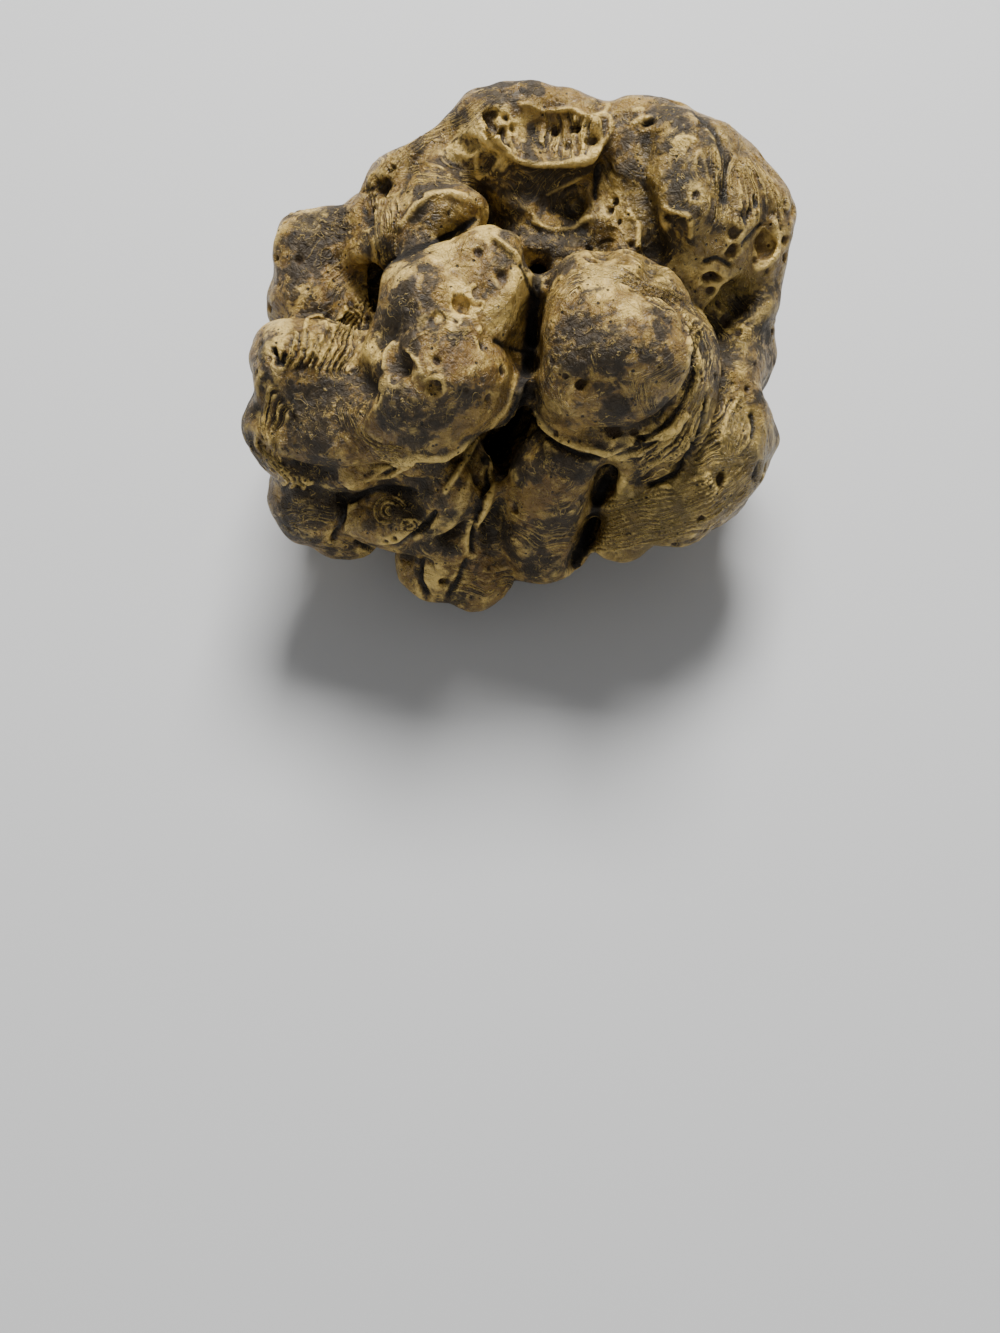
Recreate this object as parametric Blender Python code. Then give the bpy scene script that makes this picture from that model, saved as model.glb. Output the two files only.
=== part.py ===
"""A white truffle, modelled as the one solid piece that it grows as.

Run it with: blender --background --python part.py

The fruit body is a knot of folds pressed against each other round a core, with
clefts between them. Each fold is a few balls that melt into one another.
Frame: +X to the right, +Y away, +Z up, with the origin at the middle of the
footprint. The script works in millimetres and ends in metres.
"""

import bmesh
import bpy
import numpy as np
from mathutils import Matrix, Vector, noise
from mathutils.bvhtree import BVHTree

MM = 0.001  # one millimetre in metres
NAME = "white_truffle"

# Each fold is a knot of balls: centre and radius.
FOLDS = {
    "core": (
        ((0, 7, 20.5), 14.5),
        ((13, 5, 22), 15),
        ((-13, 6, 23), 15),
    ),
    "left_front": (
        ((-27.5, -6.5, 35), 5.5),
        ((-29.3, -3.5, 33.5), 5),
        ((-23, -6, 33), 7),
        ((-27.3, -10.5, 28), 7.2),
        ((-21.5, -11, 29), 8),
        ((-16, -8, 34), 8),
        ((-12.5, -12, 35), 8.5),
        ((-8, -9.5, 38.5), 8.5),
        ((-10, -2.5, 41), 8),
        ((-4, 0.5, 45), 5),
        ((-2, -3.5, 43.5), 4.5),
    ),
    "left_back": (
        ((-26.2, 14.5, 34.5), 6.4),
        ((-26.8, 8, 31), 6.5),
        ((-22.5, 14.5, 36), 5),
        ((-24, 12, 26), 8),
    ),
    "crown_left": (
        ((-6, 21.5, 43.7), 4.8),
        ((-11, 18, 43), 5),
        ((-15, 17, 42.3), 5.2),
        ((-18.3, 14, 39.5), 4.2),
        ((-10, 18, 38), 7),
        ((-14.5, 11.5, 41), 5.3),
        ((-10, 12.5, 42.8), 5.2),
        ((-17, 10.5, 37.5), 5),
    ),
    "tongue": (
        ((-15, 7.5, 41.5), 3),
        ((-12.5, 8, 43), 3.2),
        ((-10, 8.5, 44), 3.2),
        ((-6.5, 9.5, 45), 3),
        ((-11, 9, 39), 5),
    ),
    "crown_middle": (
        ((-2.3, 21.5, 46), 6.3),
        ((1, 22, 46), 6.3),
        ((5, 21.5, 46), 6),
        ((9, 20.5, 46), 5),
        ((3, 20, 38), 9),
    ),
    "valley": (
        ((2, 13, 34), 8),
        ((7, 9, 32), 8),
    ),
    "seam": (
        ((13, 13.5, 42.5), 3.2),
        ((13, 11, 41.5), 3.2),
        ((13.5, 8.5, 40), 3),
        ((14, 12, 37), 5),
    ),
    "crown_right": (
        ((17.5, 20, 43), 8.5),
        ((22, 17.5, 42.3), 9.2),
        ((25.5, 17.5, 40.3), 7.6),
        ((22.5, 13, 41), 8.5),
        ((21.5, 9, 39), 6),
        ((24, 9.5, 37), 6.5),
        ((20, 16, 34), 10),
    ),
    "crown_end": (
        ((30, 17, 38), 6.3),
        ((29.5, 13.5, 37), 6),
        ((29, 11, 33), 6),
    ),
    "right_back": (
        ((29.5, 6, 31), 5),
        ((29.2, -1.5, 28), 4.5),
        ((27.8, 4, 24), 8.8),
    ),
    "right_front": (
        ((20.5, -12, 20.5), 9.7),
        ((26, -9.5, 21), 9),
        ((14.5, -14, 13), 6.6),
        ((28.6, -6, 20), 8),
        ((29.6, -5, 25), 5),
        ((26, -8, 13), 8),
    ),
    "ball": (((12, -6.6, 38), 11.5),),
    "collar": (
        ((15, -7.5, 32), 11.2),
        ((17.5, -5, 32.5), 9.5),
    ),
    "front_neck": (
        ((9, -14, 28), 6.5),
        ((5.5, -15.5, 24), 6.8),
        ((4, -16.5, 18.5), 6.5),
        ((3.5, -18, 13), 6.2),
        ((6, -17.5, 10), 5),
    ),
    "front_toe": (
        ((-5, -21, 8), 5.5),
        ((-12, -20, 9), 5.5),
        ((-8.5, -18.5, 15), 5.5),
        ((-8, -12, 12), 9),
    ),
    "left_toe": (
        ((-27, -14, 17), 6.8),
        ((-24, -15, 12), 5.5),
        ((-21, -8, 16), 9),
    ),
    "knuckle": (
        ((-13.5, -18, 19), 5.5),
        ((-19, -17.5, 18), 4.5),
        ((-8, -17, 23), 5.5),
        ((-13, -11, 22), 8),
    ),
    "back_left": (
        ((-17, 21, 26), 10.5),
        ((-24, 15, 21), 9),
        ((-13, 27, 21), 8.5),
        ((-10, 25, 28), 8),
    ),
    "side_left": (
        ((-23, 9, 14), 10.5),
        ((-26, 3, 19), 7.5),
        ((-17, 17, 11), 10),
    ),
    "back_middle": (
        ((-1, 28, 29), 8.5),
        ((5, 28, 31), 8),
        ((3, 30, 22), 8),
    ),
    "back_right": (
        ((18, 23, 27), 10),
        ((25, 19, 25), 9),
        ((13, 28, 18), 8.5),
        ((22, 22, 17), 9),
    ),
    "side_right": (
        ((26, 8, 14), 10),
        ((25, 14, 10), 9),
        ((27.5, 1, 18), 7.5),
    ),
    "back_foot": (
        ((-7, 26, 9), 8.5),
        ((0, 27, 8), 8),
        ((9, 24, 7), 9),
        ((16, 18, 7), 8),
    ),
    "base": (
        ((0, 1, 10), 14),
        ((10, 5, 9), 13),
        ((-11, 4, 10), 13),
        ((1, 11, 9), 13),
    ),
}

# The front is described as it looks from a standpoint in front of it and above:
# (across, up) in millimetres on a plane that faces the standpoint.
STANDPOINT = Vector((-2, -106, 156))
MIDDLE = Vector((0, 4, 27))
ACROSS = Vector((1, 0, 0))
UP = Vector((0, 0.903, 0.43))

# Clefts, cut straight away from the standpoint: the line, its half width, its depth.
CLEFTS = {
    "left front to ball": (
        ((3, 9), (2.5, 5), (2.1, 1), (1.6, -3), (1.1, -6.5), (-0.3, -10.5), (-4, -15.5)),
        1.6,
        11,
    ),
    "neck to right front": (((12.8, -17.5), (11.5, -21), (10.2, -25), (8.5, -29.5)), 1.35, 8),
    "left front to tongue": (((-19.5, 8.5), (-17, 11.5), (-13, 13.4), (-9, 15), (-5.5, 17.2)), 0.7, 3),
}

# Furrows: the line, its half width and its depth.
FURROWS = {
    "edge of ball": (
        ((21, 8.5), (24.5, 3.5), (25.5, -0.5), (24.5, -5), (21.5, -9.5), (16.5, -12.2), (11, -12.5)),
        0.9,
        1.3,
    ),
    "left front to toes": (
        ((-36, -13.5), (-32, -16.5), (-27, -18.3), (-18, -17.2), (-12, -17.5), (-6, -15)),
        1,
        2,
    ),
    "waist of left front": (((2, -1), (-0.5, -0.3), (-2.5, 0.8), (-4, 2.5)), 0.8, 1),
    "notch of left front": (((-19.5, 8), (-22.5, 2.5), (-23.5, -2), (-20.5, -6)), 2, 1.8),
    "seam to valley": (((12, 27), (11.5, 20), (12, 13)), 1.2, 1.6),
    "seam to crown": (((18, 28), (17, 21.5), (19, 14.5), (18.5, 9)), 1.2, 1.6),
    "crown, first": (((21.5, 26), (22.5, 19), (21, 12)), 1, 0.7),
    "crown, second": (((25, 28), (28, 20), (28.5, 12)), 1, 0.8),
    "crown to its end": (((31, 28), (30, 23), (28.5, 18), (28, 14.5)), 1.2, 1.3),
    "crown to ball": (((15, 9), (20, 8.5), (24, 6), (28, 3)), 1.2, 1.5),
    "crown left, first": (((-4, 34), (-9, 29), (-15, 24), (-18, 18)), 0.9, 0.8),
    "crown left, second": (((-8, 31), (-14, 26), (-20, 20), (-20, 15)), 0.9, 0.8),
    "knuckle": (((-17, -20), (-14, -22), (-12, -26), (-15, -29)), 1, 1.2),
    "left front to ball, foot": (((-4, -17), (-4.5, -21), (-6, -25), (-9, -27)), 1.2, 2.5),
}

# Ridges: the line, its half width and its height.
RIDGES = {
    "rim of shell": (((-4, 29.5), (-0.5, 26.5), (3.5, 25), (7.5, 24.7), (12, 27)), 0.9, 1.1),
    "valley, upper": (((-1, 20), (3.5, 17), (8.5, 16), (11, 18)), 0.9, 1.4),
    "valley, lower": (((-2, 15), (2, 13.5), (7.5, 13), (10, 14.5)), 0.9, 1.2),
    "tongue": (((-20, 13), (-15, 18.5), (-11, 20.5), (-5, 20)), 0.9, 1),
    "left front, side": (((-35, -5), (-34, -13), (-31, -18.5)), 1, 0.7),
}

# Pits: the place, the radius and the depth.
PITS = {
    "shell": ((5.5, 30), 5, 2.6),
    "shell, left": ((1, 30.5), 4, 1.6),
    "pocket": ((-20.5, 9), 3, 4),
    "hollow under crown": ((30.5, 6), 3.5, 3),
    "cup": ((-7.5, 5.5), 1.7, 0.8),
    "cup, left": ((-10.5, 3.5), 1.3, 0.9),
    "crater": ((-15.5, -3), 2.3, 1.4),
    "crater, right": ((-11, -5), 1.4, 0.9),
    "eye": ((-2, 10.5), 1.4, 1),
    "knob": ((-6, 27.5), 1.3, 1.3),
    "knob, right": ((-4, 25.5), 1.2, 1.1),
    "knob, top": ((-3, 31.5), 1.5, 2),
    "ball": ((9, -5), 1.3, 1.8),
    "crown end": ((34.5, 14), 2, 1.6),
    "crown end, left": ((30, 15.5), 1.4, 1.5),
    "right front": ((28, -18), 1.3, 1.5),
    "front toe": ((-9.5, -32.5), 1.5, 1.5),
}

VOXEL = 0.7  # mesh size while the form is worked
MELT = 14  # rounds of smoothing that melt a fold's balls together
PLUMP = 0.3  # puts back what melting takes off a fold
CREASE_ROUNDS = 40  # rounds of smoothing that a crease is measured against
CREASE_GAIN = 0.9  # how much deeper a crease gets, as a share of its depth
FOOT = -2.7  # height of the plane that the resting spot lies in
MOST_TRIANGLES = 11200

COLOUR = (0.50, 0.38, 0.22, 1)
ROUGHNESS = 0.85

# The warp that takes the roundness off the folds: wave length and amount.
WAVES = ((17, 1.1), (8, 0.9), (4, 0.4))

# The winding furrows of the unseen sides.
WINDING_LENGTH = 13
WINDING_WIDTH = 0.06
WINDING_DEPTH = 1.3
LUMP_LENGTH = 5
LUMP_HEIGHT = 0.5

WEB = 3  # a web of skin up to this thick, across a cleft, is sunk with it
RIM_SHARE = 0.15  # height of a pit's rim, as a share of the pit's depth


def clear_scene():
    for obj in list(bpy.data.objects):
        bpy.data.objects.remove(obj, do_unlink=True)


def apply_modifier(obj, kind, **settings):
    modifier = obj.modifiers.new(kind.title(), kind)
    for key, value in settings.items():
        setattr(modifier, key, value)
    bpy.context.view_layer.objects.active = obj
    bpy.ops.object.modifier_apply(modifier=modifier.name)


def add_object(name, shape):
    """A new object that takes over the bmesh."""
    mesh = bpy.data.meshes.new(name)
    shape.to_mesh(mesh)
    shape.free()
    obj = bpy.data.objects.new(name, mesh)
    bpy.context.scene.collection.objects.link(obj)
    return obj


def add_fold(name, balls):
    """One fold: its balls made one skin, then smoothed until they melt together."""
    shape = bmesh.new()
    for centre, radius in balls:
        bmesh.ops.create_icosphere(
            shape, subdivisions=4, radius=radius, matrix=Matrix.Translation(centre)
        )
    fold = add_object(name, shape)
    apply_modifier(fold, "REMESH", mode="VOXEL", voxel_size=VOXEL)
    apply_modifier(fold, "SMOOTH", factor=0.5, iterations=MELT)
    apply_modifier(fold, "DISPLACE", strength=PLUMP, mid_level=0)
    return fold


def pressed_together(folds):
    """The folds as one skin, with a crease where two of them meet."""
    shape = bmesh.new()
    for fold in folds:
        shape.from_mesh(fold.data)
        bpy.data.objects.remove(fold)
    truffle = add_object(NAME, shape)
    apply_modifier(truffle, "REMESH", mode="VOXEL", voxel_size=VOXEL)
    apply_modifier(truffle, "SMOOTH", factor=0.5, iterations=2)
    return truffle


def points_of(truffle):
    flat = np.empty(len(truffle.data.vertices) * 3, np.float32)
    truffle.data.vertices.foreach_get("co", flat)
    return flat.reshape(-1, 3).astype(float)


def normals_of(truffle):
    flat = np.empty(len(truffle.data.vertices) * 3, np.float32)
    truffle.data.vertices.foreach_get("normal", flat)
    return flat.reshape(-1, 3).astype(float)


def move_to(truffle, points):
    truffle.data.vertices.foreach_set("co", points.ravel())
    truffle.data.update()


def smoothed(truffle, values, rounds):
    """Values at the vertices, averaged with their neighbours round after round."""
    flat = np.empty(len(truffle.data.edges) * 2, np.int32)
    truffle.data.edges.foreach_get("vertices", flat)
    start, end = flat.reshape(-1, 2).T
    count = len(values)
    degree = np.bincount(start, minlength=count) + np.bincount(end, minlength=count)
    for _ in range(rounds):
        total = np.empty_like(values)
        for axis in range(values.shape[1]):
            column = values[:, axis]
            total[:, axis] = np.bincount(start, column[end], count)
            total[:, axis] += np.bincount(end, column[start], count)
        values = 0.5 * values + 0.5 * total / degree[:, None]
    return values


def warp(truffle):
    """Takes the roundness off the folds, with slow and quick waves."""
    points = points_of(truffle)
    moved = points.copy()
    for spacing, amount in WAVES:
        for axis in range(3):
            waves = points / spacing + 20 * axis
            moved[:, axis] += amount * np.array([noise.noise(place) for place in waves])
    move_to(truffle, moved)


def wrinkle(truffle):
    """Winding furrows over the sides that the standpoint doesn't see."""
    points = points_of(truffle)
    push = np.zeros(len(points))
    for index, point in enumerate(points):
        unseen = min(1, max(0.15, (point[1] - point[2] + 18) / 12))
        winding = noise.noise(point / WINDING_LENGTH + np.array((5, 3, 8)))
        push[index] = -WINDING_DEPTH * unseen * np.exp(-((winding / WINDING_WIDTH) ** 2))
        push[index] += LUMP_HEIGHT * unseen * noise.noise(point / LUMP_LENGTH)
    move_to(truffle, points + push[:, None] * normals_of(truffle))


def skin_of(truffle):
    """The skin in a form that rays can be cast on."""
    return BVHTree.FromPolygons(
        [vertex.co for vertex in truffle.data.vertices],
        [tuple(polygon.vertices) for polygon in truffle.data.polygons],
    )


def seen(skin, across, up):
    """The point of the skin that the standpoint sees in this direction, or None."""
    target = MIDDLE + float(across) * ACROSS + float(up) * UP
    return skin.ray_cast(STANDPOINT, target - STANDPOINT)[0]


def smooth_line(corners):
    """Points laid closely along a smooth line that follows the corners."""
    corners = np.array(corners, float)
    places = np.linspace(0, len(corners) - 1, 10 * len(corners))
    numbers = np.arange(len(corners))
    line = np.stack([np.interp(places, numbers, column) for column in corners.T], axis=1)
    for _ in range(8):
        line[1:-1] = (line[:-2] + 2 * line[1:-1] + line[2:]) / 4
    return line


def line_on(skin, corners):
    """The same line, laid on the skin."""
    hits = [seen(skin, *place) for place in smooth_line(corners)]
    return np.array([hit for hit in hits if hit])


def distance(points, line):
    nearest = np.full(len(points), np.inf)
    for place in line:
        nearest = np.minimum(nearest, ((points - place) ** 2).sum(axis=1))
    return np.sqrt(nearest)


def nearness(points, line, width):
    """1 on the line, falling to 0 over about twice the width."""
    return np.exp(-((distance(points, line) / width) ** 2))


def mark(truffle):
    """Presses in the furrows and the pits, and raises the ridges."""
    skin = skin_of(truffle)
    points = points_of(truffle)
    outward = smoothed(truffle, normals_of(truffle), 6)
    push = np.zeros(len(points))
    for corners, width, depth in FURROWS.values():
        push -= depth * nearness(points, line_on(skin, corners), width)
    for corners, width, height in RIDGES.values():
        push += height * nearness(points, line_on(skin, corners), width)
    for place, radius, depth in PITS.values():
        centre = np.array([seen(skin, *place)])
        push -= depth * nearness(points, centre, 0.7 * radius)
        rim = np.linalg.norm(points - centre, axis=1) - radius
        push += RIM_SHARE * depth * np.exp(-((rim / (0.4 * radius)) ** 2))
    move_to(truffle, points + push[:, None] * outward)


def cut_clefts(truffle):
    """Sinks narrow slots straight away from the standpoint, where it sees the skin."""
    skin = skin_of(truffle)
    points = points_of(truffle)
    away = points - np.array(STANDPOINT)
    facing = np.cross(ACROSS, UP)
    reach = np.dot(MIDDLE - STANDPOINT, facing) / (away @ facing)
    on_plane = np.array(STANDPOINT) + away * reach[:, None] - np.array(MIDDLE)
    flat = np.stack([on_plane @ np.array(ACROSS), on_plane @ np.array(UP)], axis=1)
    sunk = np.zeros(len(points))
    for corners, width, depth in CLEFTS.values():
        beside = distance(flat, smooth_line(corners)) / width
        sunk = np.maximum(sunk, depth / (1 + beside**6))
    for index in np.flatnonzero(sunk > 0.05):
        hit = skin.ray_cast(STANDPOINT, Vector(away[index]))[0]
        if hit is None or (hit - Vector(points[index])).length > WEB:
            sunk[index] = 0
    away /= np.linalg.norm(away, axis=1)[:, None]
    move_to(truffle, points + sunk[:, None] * away)


def deepen_creases(truffle):
    """Sinks the skin further wherever it already lies below its surroundings."""
    points = points_of(truffle)
    outward = normals_of(truffle)
    height = ((points - smoothed(truffle, points, CREASE_ROUNDS)) * outward).sum(axis=1)
    sunk = np.minimum(height, 0)
    move_to(truffle, points + CREASE_GAIN * sunk[:, None] * outward)


def outer_skin(truffle):
    """The largest piece of the skin: loose scraps go, and sealed hollows fill up."""
    bpy.ops.object.select_all(action="DESELECT")
    truffle.select_set(True)
    bpy.ops.mesh.separate(type="LOOSE")
    pieces = sorted(bpy.context.selected_objects, key=lambda obj: len(obj.data.vertices))
    for piece in pieces[:-1]:
        bpy.data.objects.remove(piece)
    pieces[-1].name = NAME
    return pieces[-1]


def cut_resting_spot(truffle):
    """A small flat spot at the lowest part, which the truffle stands on."""
    shape = bmesh.new()
    shape.from_mesh(truffle.data)
    bmesh.ops.bisect_plane(
        shape,
        geom=shape.verts[:] + shape.edges[:] + shape.faces[:],
        plane_co=(0, 0, FOOT),
        plane_no=(0, 0, -1),
        clear_outer=True,
    )
    rim = [edge for edge in shape.edges if edge.is_boundary]
    bmesh.ops.contextual_create(shape, geom=rim)
    bmesh.ops.triangulate(shape, faces=shape.faces[:])
    shape.to_mesh(truffle.data)
    shape.free()


def centre_on_origin(truffle):
    points = points_of(truffle)
    low, high = points.min(axis=0), points.max(axis=0)
    middle = (low + high) / 2
    truffle.data.transform(Matrix.Translation((-middle[0], -middle[1], -low[2])))


def skin_material():
    """Matt ochre skin, the mean of its cream ridges and its soiled hollows."""
    material = bpy.data.materials.new("truffle_skin")
    material.use_nodes = True
    shader = material.node_tree.nodes["Principled BSDF"]
    shader.inputs["Base Color"].default_value = COLOUR
    shader.inputs["Roughness"].default_value = ROUGHNESS
    shader.inputs["Metallic"].default_value = 0
    return material


def main():
    clear_scene()
    truffle = pressed_together([add_fold(*fold) for fold in FOLDS.items()])
    warp(truffle)
    wrinkle(truffle)
    cut_clefts(truffle)
    mark(truffle)
    deepen_creases(truffle)
    apply_modifier(truffle, "REMESH", mode="VOXEL", voxel_size=VOXEL)
    apply_modifier(truffle, "SMOOTH", factor=0.5, iterations=2)
    truffle = outer_skin(truffle)
    apply_modifier(
        truffle, "DECIMATE", ratio=MOST_TRIANGLES / (2 * len(truffle.data.polygons))
    )
    cut_resting_spot(truffle)
    centre_on_origin(truffle)
    truffle.data.transform(Matrix.Scale(MM, 4))
    truffle.data.shade_smooth()
    truffle.data.materials.append(skin_material())


main()
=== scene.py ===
"""A fresh white truffle: its folded, pitted skin, with soil left in the hollows and painted shade in
them.
"""

import math
import random

import bmesh
import bpy
import numpy as np
from mathutils import Matrix, Vector, noise
from mathutils.bvhtree import BVHTree


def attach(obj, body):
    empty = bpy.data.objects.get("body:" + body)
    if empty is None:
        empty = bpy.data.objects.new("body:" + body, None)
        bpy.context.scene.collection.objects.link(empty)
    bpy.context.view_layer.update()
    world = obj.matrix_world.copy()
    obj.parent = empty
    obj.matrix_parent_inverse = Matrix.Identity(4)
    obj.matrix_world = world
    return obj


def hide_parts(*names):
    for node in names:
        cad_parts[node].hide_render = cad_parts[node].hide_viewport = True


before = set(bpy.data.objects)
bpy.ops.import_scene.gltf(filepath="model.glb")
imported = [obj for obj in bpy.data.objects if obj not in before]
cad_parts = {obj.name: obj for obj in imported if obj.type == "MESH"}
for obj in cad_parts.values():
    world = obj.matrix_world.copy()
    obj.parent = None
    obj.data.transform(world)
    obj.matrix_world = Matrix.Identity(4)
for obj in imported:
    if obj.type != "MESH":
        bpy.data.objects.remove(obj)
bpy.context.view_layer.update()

MM = 0.001  # one millimetre in metres
SKIN = "truffle_skin_piece"
SEED = 7

# The front is described as it looks from a standpoint in front of it and above:
# (across, up) in millimetres on a plane that faces the standpoint.
STANDPOINT = Vector((-2.7, -112, 158.7))
MIDDLE = Vector((-0.7, -2, 29.7))
ACROSS = Vector((1, 0, 0))
UP = Vector((0, 0.903, 0.43))

# The camera stands at the standpoint. Its sensor and lens are in millimetres.
SENSOR_WIDTH = 36
LENS = 32.4
CAMERA_TILT = math.radians(25.5)  # from straight down
CAMERA_NEAREST = 0.005  # in metres

# The studio, in metres: each light's place, size, power and colour.
LIGHTS = {
    "overhead": ((0.03, 0.28, 0.48), 0.2, 5.7, (1, 0.97, 0.92)),
    "fill": ((0.1, -0.5, 0.35), 0.5, 0.5, (1, 1, 1)),
}
LIT_PLACE = (0, 0, 0.03)
FLOOR_SIZE = 6
FLOOR_COLOUR = (0.62, 0.64, 0.67, 1)
FLOOR_ROUGHNESS = 0.8
ROOM_COLOUR = (1, 0.985, 0.96, 1)
ROOM_STRENGTH = 0.23

# The skin's colours. Cream also serves as painted highlight on the crests; the pit floor colour, the
# dark film colour and the deepest colour also serve as painted shade.
OCHRE = (0.35, 0.215, 0.05, 1)
TAN = (0.17, 0.098, 0.022, 1)
CREAM_SKIN_AND_HIGHLIGHT = (0.93, 0.665, 0.20, 1)
OLIVE_SKIN = (0.22, 0.165, 0.04, 1)
RUSSET_SKIN = (0.17, 0.082, 0.020, 1)
PAINTED_PIT_SHADE = (0.06, 0.034, 0.012, 1)
DARK_SOIL_AND_SHADE = (0.014, 0.010, 0.005, 1)
FILM_PALE = (0.075, 0.051, 0.022, 1)
DEEP_SHADE = (0.005, 0.003, 0.0015, 1)

# The skin's mesh. Lengths are in millimetres from here on.
WELD = 1e-6  # points of the solid this near, in metres, are one
SKIN_STEP = 0.34  # mesh size while the skin is worked
FACET_ROUNDS = 14  # rounds of smoothing that take the facets off the solid's copy
MOST_TRIANGLES = 194_000  # of the finished skin
REST_HEIGHT = 0.02  # lowest height of the skin above the surface that it stands on

# How the standpoint sees the skin.
SEEN_WITHIN = 0.5  # a point is seen if the sight line ends this near it
BARELY_SEEN = 0.02  # a point is hidden if a smaller share of its neighbourhood is seen
EDGE_SLANT = 0.25  # how squarely skin near the outline still faces the standpoint
EDGE_GAP = 0.3  # how much of that slant carries no relief

# Smooth lines, and how far a strand thins and swells along them.
POINTS_PER_CORNER = 12
LINE_REACH = 3  # half widths over which a line is felt
STRAND_RANGE = (0.2, 1.5)

# Layers of smooth noise: how far apart the waves are, which ones, and how high. The
# last three colour the skin that the standpoint doesn't see.
LUMPS = ((5.5, 1, 0.4), (2.8, 5, 0.25), (1.3, 8, 0.06))
STRAND_WAVES = ((2.5, 3, 1.4), (6, 9, 1.6))
THREAD_DRIFT = ((8, 2, 2.2),)
THREAD_WAVES = ((4.5, 6, 0.9), (2, 7, 0.4))
COMBED_WAVES = ((6.5, 12, 1.5),)
PATCH_EDGES = ((2.6, 30, 0.5), (1.1, 33, 0.2))
FILM_WAVES = ((8, 40, 1.3), (3.6, 44, 0.8))
PIT_WAVES = ((1.4, 17, 1),)
PORE_WAVES = ((6, 50, 1),)
FAR_CREAM = ((8, 60, 2),)
FAR_OLIVE = ((14, 64, 2),)
FAR_RUSSET = ((10, 68, 2),)

# How strongly even the lowest of each is coloured.
FAINTEST_RIM = 0.3
FAINTEST_CUT = 0.4
FAINTEST_COMB = 0.45
FAINTEST_RING = 0.25

# Threads of the skin.
CREASE_ROUNDS = 120  # steps of the mesh over which a crease is told from the skin round it
CREASE_DEPTH = 0.9
CREASE_FADE = 3  # distance over which threads grow stronger away from a crease
FURTHEST_ROUNDS = 36  # steps of the mesh over which a crease is felt
THREAD_SPACING = 1.7
THREAD_HEIGHT = 0.15
ODD_THREADS = 1.7  # finer threads to each turn, which make the spacing uneven
COMB_STEPS = 60  # places along a comb at which its width is taken
COMB_REACH = 2
COMB_FADE = 0.7  # how far a comb's threads run out past its edge
CROWDED = 0.3  # threads nearer each other than this stay flat
CROWD_FADE = 0.5
MEAN_COMBED = 0.1  # strength of the threads outside combs and curls
MOST_COMBED = 0.35
RING_REACH = 1.6  # in radii, as is the next
RING_EDGE = 1.2
RING_FLATNESS = 1.3  # how much wider than high a ring is
RING_FADE = 2.5  # how quickly a curl's threads end at its edge

# Clefts and pits. Pit measures are in radii of the pit.
CLEFT_DEPTH = 0.2  # how much deeper the skin sinks along a cleft
PIT_UNEVENNESS = 0.7
PIT_REACH = 2.4
PIT_WALL = 6  # how steep the wall is
PIT_RIM_PLACE = 1.25
PIT_RIM_WIDTH = 0.22
PLAIN_RIM = 0.05  # height of the rim round a pit, in millimetres

PATCH_SPREAD = 1.25  # radii at which a patch has faded out

# Film of soil: how dense it is as a rule, and what adds to it or takes from it.
FILM_MEAN = 0.25
FILM_BEHIND = 0.15
FILM_IN_PATCHES = 0.75
FILM_OFF_OLIVE = 0.4
FILM_OFF_CREAM = 0.9
FILM_OFF_CRESTS = 0.45

# Crests and hollows, told by how far the skin stands out near by and farther off.
NEAR_ROUNDS = 10
NEAR_HEIGHT = 0.3
MIDDLE_ROUNDS = 40
MIDDLE_HEIGHT = 0.7
BROAD_ROUNDS = 160
BROAD_DEPTH = 1.8

# Pores, at random places.
PORES = 1400
PORE_CLUSTERS = 0.05  # height of the slow waves above which pores lie
SMALLEST_PORE = 0.26
PORE_RANGE = 0.5
PORE_RARITY = 6  # how rare large pores are
PORE_DEPTHS = (0.7, 1.2)  # in radii

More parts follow.
